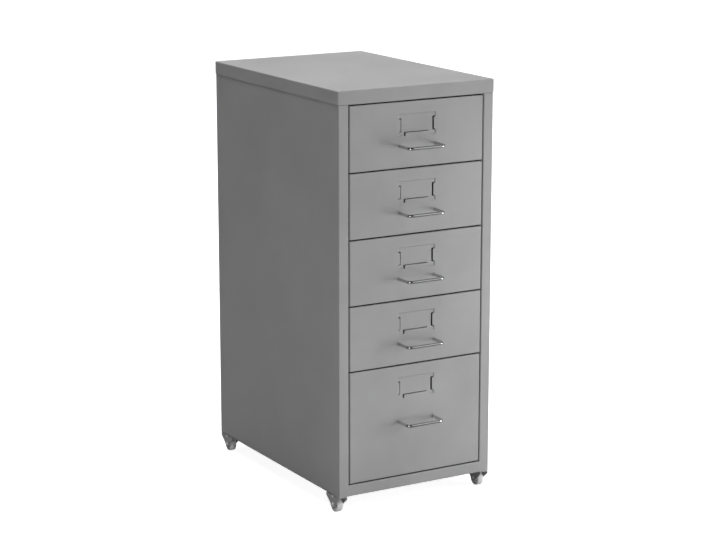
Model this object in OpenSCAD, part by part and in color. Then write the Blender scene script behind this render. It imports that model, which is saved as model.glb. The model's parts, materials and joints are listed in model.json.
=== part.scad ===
// Narrow sheet-steel cabinet with five drawers, on four swivel casters.
// Millimetres, +Z up, drawers open towards -Y. The origin is on the floor,
// under the middle of the overall footprint, handles included.

/* [Carcass] */
// Width over the skirts of the lid
case_w = 280; // [240:1:340]
// Depth from the front face to the back of the lid
case_d = 410; // [370:1:480]
// Thickness of the sheet steel
sheet = 0.8; // [0.6:0.1:1]
// Inside radius of every fold
fold_r = 0.6; // [0.4:0.1:1.2]
// Gap between the lid's skirts and the panels inside them
lid_fit = 0.3; // [0.1:0.1:0.5]
// Height of the lid's skirts at the sides and the back
skirt_h = 20.5; // [14:0.5:21]
// Height of the band above the top drawer
top_band_h = 22; // [22:0.5:32]
// Height of the rail under the bottom drawer
rail_h = 18; // [14:0.5:30]
// Width of the post at each side of the drawers
post_w = 17.2; // [15:0.1:24]
// Depth of the stiffening folds behind the front edges
return_d = 12; // [8:0.5:16]
// Height of the lips that end those folds
lip_h = 5; // [3:0.5:8]
// Width of the hidden flanges that join the panels
flange_w = 15; // [14:0.5:18]

/* [Drawers] */
// Height of each of the four shallow drawer fronts
shallow_h = 102; // [90:1:130]
// Height of the deep bottom drawer front
deep_h = 179; // [130:1:240]
// Gap around each drawer front
front_gap = 2; // [1:0.1:3]
// Space between the back of a closed drawer and the back panel
drawer_back_gap = 18.1; // [10:0.1:60]
// How far a drawer slides out before its stops meet the posts
travel = 290; // [200:1:310]
// How far the drawer walls end below the top of the front
wall_drop = 8; // [5:0.5:20]
// Width of the hem along the top of each drawer wall
hem_w = 8; // [4:0.5:12]
// Depth of the folds at the ends of the drawer back
back_fold_d = 10; // [6:0.5:16]

/* [Runners] */
// Clearance between a drawer's floor and the ledge that carries it
runner_gap = 0.3; // [0.3:0.1:1]
// Side clearance between a drawer and the step that guides it
guide_gap = 0.6; // [0.3:0.1:1]
// Height of that step
guide_h = 4; // [3:0.5:8]
// Width of the ledge under the drawer's edge
ledge_w = 14; // [8:0.5:20]
// Height of the runner's flange on the side panel
runner_flange_h = 14; // [8:1:24]
// How far the stop tabs stand out of the drawer walls
stop_out = 5; // [4:0.5:8]
// Height of the stop tabs
stop_h = 18; // [10:1:24]
// Height of the tab that stops a closing drawer
rear_stop_h = 9; // [6:0.5:14]
// Height of the stop tabs above the drawer's floor
stop_drop = 16; // [10:1:30]
// Depth of the window that each stop tab is bent out of
stop_window = 6; // [4:0.5:10]
// Clearance left at both stops
stop_gap = 0.5; // [0.3:0.1:1]

/* [Label holder] */
// Width of the pressed recess
label_w = 68; // [50:1:90]
// Height of the pressed recess
label_h = 35.5; // [30:0.5:40]
// Distance from the top of the front to the recess
label_drop = 18.5; // [12:0.5:24]
// Depth of the recess
label_deep = 1.5; // [1.2:0.1:2]
// Width of the recess's sloping edges
label_slope = 2; // [0.5:0.1:3]
// How far the side tabs reach over the recess
side_tab_w = 4; // [2:0.5:8]
// Height of the side tabs
side_tab_h = 21.5; // [14:0.5:26]
// Height of the side tabs above the bottom of the recess
side_tab_z = 6.9; // [3:0.1:10]
// Corner cut of the side tabs
side_tab_cut = 2; // [1:0.5:3]
// Width of the bottom tab
bottom_tab_w = 42; // [20:1:50]
// Height of the bottom tab
bottom_tab_h = 6; // [3:0.5:8]
// Width of the slot left beside a tab's end
lance_w = 2; // [1:0.1:3]
// Height of the slot left over the bottom tab
bottom_lance_h = 0.9; // [0.5:0.1:2]

/* [Handles] */
// Diameter of the handle wire
wire_d = 5; // [4:0.5:7]
// Distance between the legs
handle_pitch = 64.4; // [50:0.1:96]
// Distance from the drawer front to the middle of the grip
handle_reach = 30.5; // [26:0.5:38]
// Radius of the wire's corners, to its middle
handle_bend_r = 7.5; // [6:0.5:10]
// Distance from the top of a shallow front to the handle
handle_drop = 68.3; // [62:0.1:80]
// Distance from the top of the deep front to the handle
deep_handle_drop = 90.6; // [66:0.1:110]
// Diameter of the threaded end of each leg
stud_d = 3.8; // [3:0.2:4]

/* [Fasteners] */
// Radial clearance of a fastener in its hole
hole_fit = 0.1; // [0.05:0.05:0.2]
// Width across the corners of a nut
nut_d = 7.6; // [7:0.1:9]
// Height of a nut
nut_h = 3; // [2:0.1:4]
// Length of thread that shows past a nut
thread_over = 1.5; // [0.5:0.5:3]
// Diameter of a screw's shank
screw_d = 3; // [2.5:0.5:3.5]
// Diameter of a screw's head
screw_head_d = 6; // [5:0.5:7]
// Height of a screw's head
screw_head_h = 1; // [0.6:0.1:1.1]
// Length of a screw under its head
screw_len = 6; // [4:0.5:8]
// Distance between the front and the rear base screws
base_screw_pitch = 136; // [80:1:200]
// Distance from the front and the back to the lid's studs
lid_stud_inset = 40; // [30:1:80]
// Distance from the top and the bottom to the outer back screws
back_screw_inset = 40; // [30:1:80]

/* [Casters] */
// Distance from the floor to the underside of the carcass
floor_gap = 28.5; // [28.5:0.5:40]
// Diameter of the wheel
wheel_d = 25; // [22:0.5:25]
// Width of the tread
tread_w = 8.6; // [6:0.1:9]
// Edge radius of the tread
tread_r = 1.2; // [0.6:0.1:2]
// Radial thickness of the tread ring
tread_h = 3.4; // [2.6:0.1:4]
// Thickness of the disc between hub and tread
disc_w = 4.5; // [3:0.1:6]
// Diameter of the wheel's hub
hub_d = 8.4; // [7:0.1:10]
// Clearance between the hub and each cheek
hub_gap = 0.4; // [0.3:0.1:0.6]
// Width of the fork over its cheeks
fork_w = 14.8; // [14:0.1:18]
// Thickness of the fork's steel
fork_t = 1.2; // [1:0.1:1.4]
// Length of the fork along its top
fork_l = 40.6; // [34:0.2:42]
// Height of the upright ends of the cheeks
fork_end_h = 4.5; // [3:0.5:7]
// Radius of the cheeks around the axle
fork_tip_r = 4.6; // [4:0.1:6]
// Distance from the front and back faces to the axles
caster_inset = 21.5; // [21.5:0.5:40]
// Distance from the swivel axis to the axle
trail = 3; // [2:0.5:6]
// Diameter of the axle rivet
axle_d = 4; // [3:0.2:4.4]
// Diameter of its heads
axle_head_d = 6.4; // [5:0.2:7]
// Height of its heads
axle_head_h = 0.8; // [0.5:0.1:1]
// Radial clearance of a turning part on its pin
spin_fit = 0.06; // [0.03:0.01:0.1]
// Diameter of the swivel rivet
pin_d = 6; // [5:0.2:7]
// Diameter of the swivel rivet's heads
pin_head_d = 10; // [9:0.2:11]
// Height of the head under the fork's web
pin_foot_h = 0.9; // [0.6:0.1:1]
// Height of the head inside the carcass
pin_cap_h = 1.5; // [1:0.1:2.5]
// Thickness of the washer above the fork
washer_h = 0.4; // [0.3:0.1:0.8]
// Diameter of that washer
washer_d = 12.6; // [10:0.2:14]
// Vertical clearance above and below the fork's web
swivel_gap = 0.3; // [0.3:0.05:0.5]
// Diameter of the pressed dimple on each cheek
dimple_d = 3.4; // [2:0.2:4]
// Height of the dimple
dimple_h = 0.8; // [0.4:0.1:0.8]
// Distance from the top of the fork to the dimple
dimple_drop = 2.2; // [2:0.1:4]

/* [Hidden] */
drawer_count = 5; // counted from the top; the last one is the deep one
DRAWERS = [1:drawer_count];
SIDES = [-1, 1];
CASTERS = [["front_left", -1, -1], ["front_right", 1, -1], ["rear_left", -1, 1], ["rear_right", 1, 1]];
DRAWER_PARTS = ["front", "box", "back", "handle", "nuts", "runners"];
CASTER_PARTS = ["fork", "axle", "wheel"];
CASE_PARTS = ["top_cover", "left_side_panel", "right_side_panel", "back_panel", "base_panel",
              "top_cover_nuts", "back_screws", "base_screws", "swivel_pins", "swivel_washers"];

$fn = 48;
cut = 1; // how far a cutting shape runs past what it cuts
bend = fold_r + sheet; // outside radius of a fold
paint = [0.6, 0.6, 0.6];
zinc = [0.78, 0.79, 0.8];
chrome = [0.88, 0.88, 0.9];
nylon = [0.92, 0.92, 0.9];

// Carcass
handle_out = handle_reach + wire_d / 2;
front_y = (handle_out - case_d) / 2;
lid_back_y = front_y + case_d;
back_y = lid_back_y - sheet - lid_fit;
body_x = case_w / 2 - sheet - lid_fit;
wall_x = body_x - sheet;
open_x = body_x - post_w;
base_z = floor_gap;
open_z = base_z + rail_h;
open_top_z = open_z + (drawer_count - 1) * (shallow_h + front_gap) + deep_h + 2 * front_gap;
top_z = open_top_z + top_band_h;
panel_z = base_z + sheet; // the side panels stand on the base panel
panel_top_z = top_z - sheet;
flange_y = back_y - sheet; // the back panel lies on the side panels' rear flanges
post_back_y = front_y + return_d;

// Drawers
front_x = open_x - front_gap;
box_x = front_x - sheet;
box_back_y = flange_y - drawer_back_gap;
stop_y = post_back_y + stop_gap + travel;
slot_under = sheet / 2; // how far the label holder's slots reach under the roots of its tabs
function is_deep(d) = d == drawer_count;
function front_h(d) = is_deep(d) ? deep_h : shallow_h;
function front_z(d) = open_z + front_gap
    + (is_deep(d) ? 0 : deep_h + front_gap + (drawer_count - 1 - d) * (shallow_h + front_gap));
function box_z(d) = front_z(d) + sheet;
function box_top_z(d) = front_z(d) + front_h(d) - wall_drop;
function handle_z(d) = front_z(d) + front_h(d) - (is_deep(d) ? deep_handle_drop : handle_drop);
function label_z(d) = front_z(d) + front_h(d) - label_drop - label_h;
function ledge_z(d) = box_z(d) - runner_gap;

// Fasteners
stud_r = stud_d / 2;
screw_r = screw_d / 2;
lid_stud_len = sheet + nut_h + thread_over;
joint_x = body_x - flange_w / 2; // middle of the hidden flanges
LID_STUDS = [for (s = SIDES, y = [front_y + lid_stud_inset, back_y - lid_stud_inset]) [s * joint_x, y]];
BASE_SCREWS = [for (s = SIDES, y = [-0.5, 0.5] * base_screw_pitch) [s * joint_x, y]];
back_screw_rows = 4;
back_screw_pitch = (top_z - base_z - 2 * back_screw_inset) / (back_screw_rows - 1);
BACK_SCREWS = [for (s = SIDES, i = [0:back_screw_rows - 1])
               [s * joint_x, base_z + back_screw_inset + i * back_screw_pitch]];

// Casters
axle_z = wheel_d / 2;
axle_r = axle_d / 2;
caster_x = body_x - fork_w / 2;
fork_top_z = base_z - washer_h - swivel_gap;
fork_web_z = fork_top_z - fork_t;
cheek_x = fork_w / 2 - fork_t;
pin_r = pin_d / 2;
pin_top_z = base_z + 2 * sheet;
hub_w = 2 * (cheek_x - hub_gap);
function axle_y(side) = side < 0 ? front_y + caster_inset : lid_back_y - caster_inset;
function pin_at(c) = [c[1] * caster_x, axle_y(c[2]) + trail];

// Extrusions of a 2D outline: (x, z) along Y, (y, z) along X and (x, y) along Z
module along_y(from, to)
    translate([0, to, 0]) rotate([90, 0, 0]) linear_extrude(to - from) children();
module along_x(from, to)
    translate([from, 0, 0]) rotate([90, 0, 90]) linear_extrude(to - from) children();
module along_z(from, to)
    translate([0, 0, from]) linear_extrude(to - from) children();

// Box between two opposite corners
module block(a, b) translate(a) cube(b - a);

// Rectangle between two opposite corners
module patch(a, b)
    translate([min(a.x, b.x), min(a.y, b.y)]) square([abs(b.x - a.x), abs(b.y - a.y)]);

// Folded sheet seen end on. The path is its outer face, with square turns,
// and the sheet lies to the left of the way the path runs.
function heading(a, b) = (b - a) / norm(b - a);
function left_of(v) = [-v.y, v.x];
function turn(u, v) = u.x * v.y - u.y * v.x; // 1 to the left, -1 to the right
module folded(path, t = sheet, r = fold_r) {
    last = len(path) - 1;
    dirs = [for (i = [0:last - 1]) heading(path[i], path[i + 1])];
    // How much of a straight stretch a corner takes up
    trim = [for (i = [0:last]) i == 0 || i == last ? 0 : turn(dirs[i - 1], dirs[i]) > 0 ? r + t : r];
    for (i = [0:last - 1])
        patch(path[i] + dirs[i] * trim[i], path[i + 1] - dirs[i] * trim[i + 1] + left_of(dirs[i]) * t);
    for (i = [1:last - 1]) {
        way = turn(dirs[i - 1], dirs[i]);
        inward = left_of(dirs[i - 1]) + left_of(dirs[i]);
        centre = path[i] + inward * (way > 0 ? r + t : -r);
        intersection() {
            translate(centre) difference() {
                circle(r + t);
                circle(r);
            }
            patch(centre, centre - way * inward * (r + t));
        }
    }
}

// Rectangle from (0, 0) whose two corners on x = 0 are rounded
module soft_front(depth, span, r) {
    translate([r, 0]) square([depth - r, span]);
    translate([0, r]) square([2 * r, span - 2 * r]);
    for (y = [r, span - r]) translate([r, y]) circle(r);
}

// Rectangle with four rounded corners, centred
module soft_rect(w, h, r) {
    square([w - 2 * r, h], center = true);
    square([w, h - 2 * r], center = true);
    for (x = SIDES, y = SIDES) translate([x * (w / 2 - r), y * (h / 2 - r)]) circle(r);
}

module bore(at, from, to, r) translate([at.x, at.y, from]) cylinder(h = to - from, r = r);

// ---- Carcass ----

// Lid with its four skirts closed at the corners; inset takes that much off every face
module lid_block(inset, r, bottom) {
    x = case_w / 2 - inset;
    y0 = front_y + inset;
    y1 = lid_back_y - inset;
    z1 = top_z - inset;
    intersection() {
        along_y(y0 - cut, y1 + cut) translate([x, z1]) mirror([1, 1]) soft_front(z1 - bottom, 2 * x, r);
        along_x(-x - cut, x + cut) translate([y1, z1]) mirror([1, 1]) soft_front(z1 - bottom, y1 - y0, r);
        along_z(bottom - cut, z1 + cut) translate([0, (y0 + y1) / 2]) soft_rect(2 * x, y1 - y0, r);
    }
}

module top_cover() color(paint) {
    difference() {
        lid_block(0, bend, top_z - skirt_h);
        lid_block(sheet, fold_r, top_z - skirt_h - cut);
    }
    // The front skirt runs down to the top drawer and folds back
    x = wall_x - lid_fit;
    along_x(-x, x) folded([[front_y, top_z - skirt_h / 2], [front_y, open_top_z],
                           [post_back_y, open_top_z], [post_back_y, open_top_z + lip_h]]);
    for (p = LID_STUDS) bore(p, panel_top_z - lid_stud_len, top_z - sheet / 2, stud_r);
}

module top_cover_nuts() color(zinc) for (p = LID_STUDS)
    translate([p.x, p.y, panel_top_z - sheet - nut_h]) nut();

// Hexagonal nut standing on its face, its bore along Z
module nut() difference() {
    cylinder(h = nut_h, d = nut_d, $fn = 6);
    translate([0, 0, -cut]) cylinder(h = nut_h + 2 * cut, r = stud_r + hole_fit);
}

// The right-hand panel; the left one is its mirror image
module side_panel() difference() {
    union() {
        // Post beside the drawers, with its folded return
        along_z(panel_z, top_z - skirt_h) folded([[open_x, post_back_y], [open_x, front_y],
                                                  [body_x, front_y], [body_x, post_back_y]]);
        // Wall and rear flange
        along_z(panel_z + bend, panel_top_z - bend)
            folded([[body_x, front_y + bend], [body_x, flange_y], [body_x - flange_w, flange_y]]);
        // Flanges along the bottom and the top
        along_y(front_y + bend, flange_y)
            folded([[body_x - flange_w, panel_z], [body_x, panel_z], [body_x, panel_z + flange_w]]);
        along_y(front_y + bend, flange_y)
            folded([[body_x, panel_top_z - flange_w], [body_x, panel_top_z],
                    [body_x - flange_w, panel_top_z]]);
    }
    // Room for the lid's front skirt and its fold
    block([open_x - cut, front_y - cut, open_top_z], [wall_x, post_back_y + cut, panel_top_z - bend]);
    block([open_x - cut, front_y - cut, open_top_z],
          [wall_x, front_y + sheet + lid_fit, panel_top_z + cut]);
    block([open_x - cut, front_y - cut, top_z - skirt_h],
          [body_x + cut, front_y + sheet + lid_fit, panel_top_z + cut]);
    for (p = LID_STUDS) bore(p, panel_top_z - sheet - cut, panel_top_z + cut, stud_r + hole_fit);
    for (p = BASE_SCREWS) bore(p, panel_z - cut, panel_z + sheet + cut, screw_r + hole_fit);
    for (c = CASTERS) bore(pin_at(c), panel_z - cut, panel_z + sheet + cut, pin_r + hole_fit);
    back_holes(flange_y - sheet - cut, flange_y + cut);
}

module back_holes(from, to) for (p = BACK_SCREWS)
    translate([p.x, to, p.y]) rotate([90, 0, 0]) cylinder(h = to - from, r = screw_r + hole_fit);

module right_side_panel() color(paint) side_panel();

module left_side_panel() color(paint) mirror([1, 0, 0]) side_panel();

module back_panel() color(paint) difference() {
    block([-body_x, flange_y, base_z], [body_x, back_y, panel_top_z - fold_r]);
    back_holes(flange_y - cut, back_y + cut);
}

// Floor of the carcass, with the rail under the drawers folded up from it
module base_panel() color(paint) difference() {
    union() {
        along_x(-open_x, open_x)
            folded([[post_back_y, open_z - lip_h], [post_back_y, open_z], [front_y, open_z],
                    [front_y, base_z], [flange_y, base_z], [flange_y, base_z + flange_w]]);
        for (s = SIDES) {
            block([s < 0 ? -body_x : open_x, front_y, base_z],
                  [s < 0 ? -open_x : body_x, flange_y, base_z + sheet]);
        }
    }
    // The side panels' rear flanges stand beside the rear upstand
    for (s = SIDES)
        block([s < 0 ? -body_x : body_x - flange_w, flange_y - sheet - fold_r - cut, base_z + sheet],
              [s < 0 ? flange_w - body_x : body_x, flange_y + cut, base_z + flange_w + cut]);
    for (p = BASE_SCREWS) bore(p, base_z - cut, panel_z + cut, screw_r + hole_fit);
    for (c = CASTERS) bore(pin_at(c), base_z - cut, panel_z + cut, pin_r + hole_fit);
}

// Pan-head screw, head at z < 0 and shank along +Z
module screw() {
    translate([0, 0, -screw_head_h]) cylinder(h = screw_head_h, d = screw_head_d);
    cylinder(h = screw_len, r = screw_r);
}

module back_screws() color(zinc) for (p = BACK_SCREWS)
    translate([p.x, back_y, p.y]) rotate([90, 0, 0]) screw();

module base_screws() color(zinc) for (p = BASE_SCREWS) translate([p.x, p.y, base_z]) screw();

// ---- Drawers ----

module drawer_runners(d) color(paint) for (s = SIDES) mirror([s < 0 ? 1 : 0, 0, 0]) {
    z = ledge_z(d);
    guide_x = box_x + guide_gap;
    ledge_x = box_x - ledge_w;
    from = post_back_y + front_gap;
    to = box_back_y + stop_gap + sheet;
    along_y(from, to)
        folded([[wall_x - sheet, z + guide_h + runner_flange_h], [wall_x - sheet, z + guide_h],
                [guide_x, z + guide_h], [guide_x, z], [ledge_x, z], [ledge_x, z - lip_h]]);
    // Tab that stops the closing drawer
    block([ledge_x, to - sheet, z - sheet], [box_x - bend, to, z + rear_stop_h]);
}

// Pan of the drawer front; inset takes that much off the face and the edges
module front_pan(d, inset, r, depth) {
    x = front_x - inset;
    z0 = front_z(d) + inset;
    z1 = front_z(d) + front_h(d) - inset;
    intersection() {
        along_z(z0 - cut, z1 + cut)
            translate([-x, front_y + inset]) mirror([1, -1]) soft_front(depth, 2 * x, r);
        along_x(-x - cut, x + cut) translate([front_y + inset, z0]) soft_front(depth, z1 - z0, r);
    }
}

// Outline of a side tab over the label recess, with the recess's edge at x = 0, its tip
// towards -x and a root of one sheet's thickness in the front
module side_tab()
    polygon([[sheet, 0], [slot_under, 0], [-side_tab_w, side_tab_cut],
             [-side_tab_w, side_tab_h - side_tab_cut], [slot_under, side_tab_h], [sheet, side_tab_h]]);

// Tabs over the recess, in (x, z), as they lie from its lower left corner
module label_tabs() {
    translate([label_w, side_tab_z]) side_tab();
    translate([0, side_tab_z]) mirror([1, 0]) side_tab();
    translate([(label_w - bottom_tab_w) / 2, -sheet]) square([bottom_tab_w, sheet + bottom_tab_h]);
}

// Slots that the tabs were bent out of
module label_slots() {
    reach = side_tab_w + lance_w + slot_under;
    tab_x = (label_w - bottom_tab_w) / 2;
    slot_top = bottom_tab_h + bottom_lance_h;
    for (x = [-slot_under, label_w + slot_under - reach]) translate([x, side_tab_z]) square([reach, side_tab_h]);
    patch([tab_x, -slot_under], [tab_x + bottom_tab_w, slot_top]);
    patch([tab_x - lance_w, sheet], [tab_x + lance_w, slot_top]);
}

// Section of a block between depths a and b, of half-width w at the face
// and narrower inwards by the slope of the recess's edges
function narrowed(w, depth) = w - label_slope * depth / label_deep;
module tapered(w, a, b)
    polygon([[-narrowed(w, a), a], [narrowed(w, a), a], [narrowed(w, b), b], [-narrowed(w, b), b]]);

// Block shaped as the recess, larger all round by grow, between depths a and b
module recess_block(d, grow, a, b) intersection() {
    z = label_z(d) + label_h / 2;
    along_z(front_z(d), front_z(d) + front_h(d))
        translate([0, front_y]) tapered(label_w / 2 + grow, a, b);
    along_x(-front_x, front_x)
        translate([front_y, z]) mirror([1, -1]) tapered(label_h / 2 + grow, a, b);
}

module drawer_front(d) color(paint) {
    z = label_z(d);
    x = label_w / 2;
    back = label_deep + sheet;
    wall = sheet * norm([label_slope, label_deep]) / label_deep;
    difference() {
        union() {
            difference() {
                front_pan(d, 0, bend, return_d);
                front_pan(d, sheet, fold_r, return_d);
            }
            recess_block(d, wall, sheet / 2, back);
        }
        recess_block(d, 0, -cut, label_deep);
        along_y(front_y - cut, front_y + back + cut) translate([-x, z]) label_slots();
        for (s = SIDES) translate([s * handle_pitch / 2, front_y + sheet + cut, handle_z(d)])
            rotate([90, 0, 0]) cylinder(h = sheet + 2 * cut, r = stud_r + hole_fit);
    }
    along_y(front_y, front_y + sheet) translate([-x, z]) label_tabs();
}

// Floor and side walls, folded from one sheet; they start behind the front's inner fold
module drawer_box(d) color(paint) {
    z0 = box_z(d);
    z1 = box_top_z(d);
    stop_z = z0 + stop_drop;
    difference() {
        along_y(front_y + bend, box_back_y)
            folded([[hem_w - box_x, z1], [-box_x, z1], [-box_x, z0], [box_x, z0], [box_x, z1],
                    [box_x - hem_w, z1]]);
        block([-box_x - cut, stop_y + sheet, stop_z], [box_x + cut, stop_y + stop_window, stop_z + stop_h]);
    }
    // Stop tabs bent out of the walls
    for (s = SIDES) mirror([s < 0 ? 1 : 0, 0, 0])
        block([box_x - sheet, stop_y, stop_z], [box_x + stop_out, stop_y + sheet, stop_z + stop_h]);
}

module drawer_back(d) color(paint) {
    x = box_x - sheet;
    along_z(box_z(d) + bend, box_top_z(d) - bend)
        folded([[x, box_back_y - back_fold_d], [x, box_back_y], [-x, box_back_y],
                [-x, box_back_y - back_fold_d]]);
}

// Bent wire with a threaded end on each leg
module drawer_handle(d) color(chrome) translate([0, front_y, handle_z(d)]) {
    leg_x = handle_pitch / 2;
    bar_x = leg_x - handle_bend_r;
    for (s = SIDES) mirror([s < 0 ? 1 : 0, 0, 0]) {
        translate([leg_x, 0, 0]) rotate([90, 0, 0]) cylinder(h = handle_reach - handle_bend_r, d = wire_d);
        translate([leg_x, sheet + nut_h + thread_over, 0]) rotate([90, 0, 0])
            cylinder(h = 2 * sheet + nut_h + thread_over, r = stud_r);
        translate([bar_x, handle_bend_r - handle_reach, 0]) rotate([0, 0, -90])
            rotate_extrude(angle = 90) translate([handle_bend_r, 0]) circle(d = wire_d);
    }
    translate([-bar_x, -handle_reach, 0]) rotate([0, 90, 0]) cylinder(h = 2 * bar_x, d = wire_d);
}

module drawer_nuts(d) color(zinc) for (s = SIDES)
    translate([s * handle_pitch / 2, front_y + sheet + nut_h, handle_z(d)]) rotate([90, 0, 0]) nut();

// ---- Casters ----

module swivel_pins() color(zinc) for (c = CASTERS) {
    p = pin_at(c);
    foot_z = fork_web_z - swivel_gap - pin_foot_h;
    bore(p, foot_z, foot_z + pin_foot_h, pin_head_d / 2);
    bore(p, foot_z, pin_top_z + pin_cap_h, pin_r);
    bore(p, pin_top_z, pin_top_z + pin_cap_h, pin_head_d / 2);
}

module swivel_washers() color(zinc) for (c = CASTERS) difference() {
    bore(pin_at(c), base_z - washer_h, base_z, washer_d / 2);
    bore(pin_at(c), base_z - washer_h - cut, base_z + cut, pin_r + hole_fit);
}

// Where a line from p touches a circle, on the side given by s
function touch(p, c, r, s) = let (v = p - c, a = atan2(v.y, v.x) + s * acos(r / norm(v)))
    c + r * [cos(a), sin(a)];

// Side view of a cheek in (y, z), its axle at (0, axle_z)
module cheek_outline() {
    c = [0, axle_z];
    end = [fork_l / 2, fork_top_z - fork_end_h];
    translate(c) circle(fork_tip_r);
    polygon([[-end.x, fork_top_z], [-end.x, end.y], touch([-end.x, end.y], c, fork_tip_r, 1), c,
             touch(end, c, fork_tip_r, -1), end, [end.x, fork_top_z]]);
}

module caster_fork(c) color(paint) translate([c[1] * caster_x, axle_y(c[2]), 0]) {
    x = fork_w / 2;
    difference() {
        intersection() {
            along_y(-fork_l, fork_l)
                folded([[x, 0], [x, fork_top_z], [-x, fork_top_z], [-x, 0]], fork_t, fold_r);
            along_x(-fork_w, fork_w) cheek_outline();
        }
        translate([-fork_w, 0, axle_z]) rotate([0, 90, 0]) cylinder(h = 2 * fork_w, r = axle_r + spin_fit);
        translate([0, trail, fork_web_z - cut]) cylinder(h = fork_t + 2 * cut, r = pin_r + spin_fit);
    }
    for (s = SIDES) translate([s * x, 0, fork_top_z - dimple_drop]) rotate([0, s * 90, 0]) dimple();
}

// Pressed dome standing on the XY plane, with a root that sinks into the cheek
module dimple() {
    dome_r = (dimple_h * dimple_h + dimple_d * dimple_d / 4) / (2 * dimple_h);
    rotate_extrude() intersection() {
        translate([0, dimple_h - dome_r]) circle(dome_r);
        translate([0, -fork_t / 2]) square([dome_r, fork_t / 2 + dimple_h]);
    }
}

module caster_axle(c) color(zinc) translate([c[1] * caster_x, axle_y(c[2]), axle_z]) rotate([0, 90, 0]) {
    cylinder(h = fork_w, r = axle_r, center = true);
    for (s = SIDES) translate([0, 0, s * (fork_w + axle_head_h) / 2])
        cylinder(h = axle_head_h, d = axle_head_d, center = true);
}

module caster_wheel(c) color(nylon) translate([c[1] * caster_x, axle_y(c[2]), axle_z]) rotate([0, 90, 0])
    difference() {
        rotate_extrude() {
            translate([wheel_d / 2 - tread_h / 2, 0]) soft_rect(tread_h, tread_w, tread_r);
            translate([0, -disc_w / 2]) square([wheel_d / 2 - tread_h / 2, disc_w]);
            translate([0, -hub_w / 2]) square([hub_d / 2, hub_w]);
        }
        cylinder(h = 2 * fork_w, r = axle_r + spin_fit, center = true);
    }

top_cover();
left_side_panel();
right_side_panel();
back_panel();
base_panel();
top_cover_nuts();
back_screws();
base_screws();
swivel_pins();
swivel_washers();
for (d = DRAWERS) {
    drawer_front(d);
    drawer_box(d);
    drawer_back(d);
    drawer_handle(d);
    drawer_nuts(d);
    drawer_runners(d);
}
for (c = CASTERS) {
    caster_fork(c);
    caster_axle(c);
    caster_wheel(c);
}
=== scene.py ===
"""Dresses a narrow sheet-steel cabinet with five drawers and four casters around its frame.

Lengths are metres, +Z is up, and the drawers open towards -Y.
"""

from __future__ import annotations

import json
import logging
import math
from dataclasses import dataclass, field
from enum import Enum
from typing import Callable, Iterable, Sequence

import bpy
from bpy.types import Material, Node, NodeOutputs, NodeSocket, NodeTree, Object, World
from mathutils import Matrix, Vector

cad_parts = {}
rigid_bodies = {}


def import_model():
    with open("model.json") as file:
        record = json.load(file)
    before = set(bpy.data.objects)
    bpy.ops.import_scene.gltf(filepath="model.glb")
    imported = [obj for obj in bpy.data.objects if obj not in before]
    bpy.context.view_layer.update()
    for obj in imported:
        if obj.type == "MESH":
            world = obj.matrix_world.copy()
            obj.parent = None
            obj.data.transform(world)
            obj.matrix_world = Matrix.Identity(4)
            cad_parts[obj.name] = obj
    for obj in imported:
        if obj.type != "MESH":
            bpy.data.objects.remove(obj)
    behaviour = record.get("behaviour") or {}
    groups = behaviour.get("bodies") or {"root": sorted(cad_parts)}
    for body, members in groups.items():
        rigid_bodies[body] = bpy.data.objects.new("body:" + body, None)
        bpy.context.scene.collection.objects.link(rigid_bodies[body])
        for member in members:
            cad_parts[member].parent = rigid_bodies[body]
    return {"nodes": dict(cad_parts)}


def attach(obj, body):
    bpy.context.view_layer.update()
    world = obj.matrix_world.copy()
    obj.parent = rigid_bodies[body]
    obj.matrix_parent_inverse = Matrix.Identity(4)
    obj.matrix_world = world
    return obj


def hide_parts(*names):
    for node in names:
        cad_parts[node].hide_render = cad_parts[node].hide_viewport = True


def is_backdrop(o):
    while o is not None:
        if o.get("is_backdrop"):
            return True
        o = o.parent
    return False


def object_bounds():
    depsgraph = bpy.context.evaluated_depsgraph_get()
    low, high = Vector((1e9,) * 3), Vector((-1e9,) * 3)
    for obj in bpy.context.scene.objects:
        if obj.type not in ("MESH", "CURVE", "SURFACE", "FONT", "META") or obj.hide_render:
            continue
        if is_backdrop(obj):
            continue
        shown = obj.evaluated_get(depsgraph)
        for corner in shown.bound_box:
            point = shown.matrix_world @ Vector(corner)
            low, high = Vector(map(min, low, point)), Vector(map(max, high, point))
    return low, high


LOG = logging.getLogger("drawer_cabinet")
TURN = 2.0 * math.pi
SIDES = (-1, 1)
UP = (0, 0, 1)
FORWARD = (0, -1, 0)
INWARD = (0, 1, 0)
RIGHTWARD = (1, 0, 0)
WHITE = (1.0, 1.0, 1.0)
CABINET = "cabinet"
SHARP_DEGREES = 38.0
FRONT = -0.1885
SHEET = 0.0008
CASTER_X = 0.1315
HANDLE_HEIGHTS = (0.5752, 0.4712, 0.3672, 0.2632, 0.1369)

Colour = tuple[float, float, float]
Spot = tuple[float, float, float]
Station = tuple[float, float]
RadiusRule = Callable[[float, float, float], float]


class Slot(Enum):
    """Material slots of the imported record."""

    CARCASS = "carcass_paint"
    DRAWER = "drawer_paint"
    FORK = "fork_paint"
    CHROME = "handle_chrome"
    ZINC = "zinc"
    NYLON = "nylon"


class Corner(Enum):
    """Caster corners with their signs along X and Y."""

    FRONT_LEFT = ("front_left", -1, -1)
    FRONT_RIGHT = ("front_right", 1, -1)
    REAR_LEFT = ("rear_left", -1, 1)
    REAR_RIGHT = ("rear_right", 1, 1)

    def named(self, part: str) -> str:
        """Name of a node, body or piece of the caster at this corner."""
        return f"{self.value[0]}_{part}"


# ---- Mesh building ----


def around(segments: int) -> list[float]:
    """Angles of even steps around an axis."""
    return [TURN * k / segments for k in range(segments)]


def quarter(steps: int) -> list[float]:
    """Angles of even steps from 0 to 90 degrees, with both ends."""
    return [math.pi / 2 * step / steps for step in range(steps + 1)]


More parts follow.
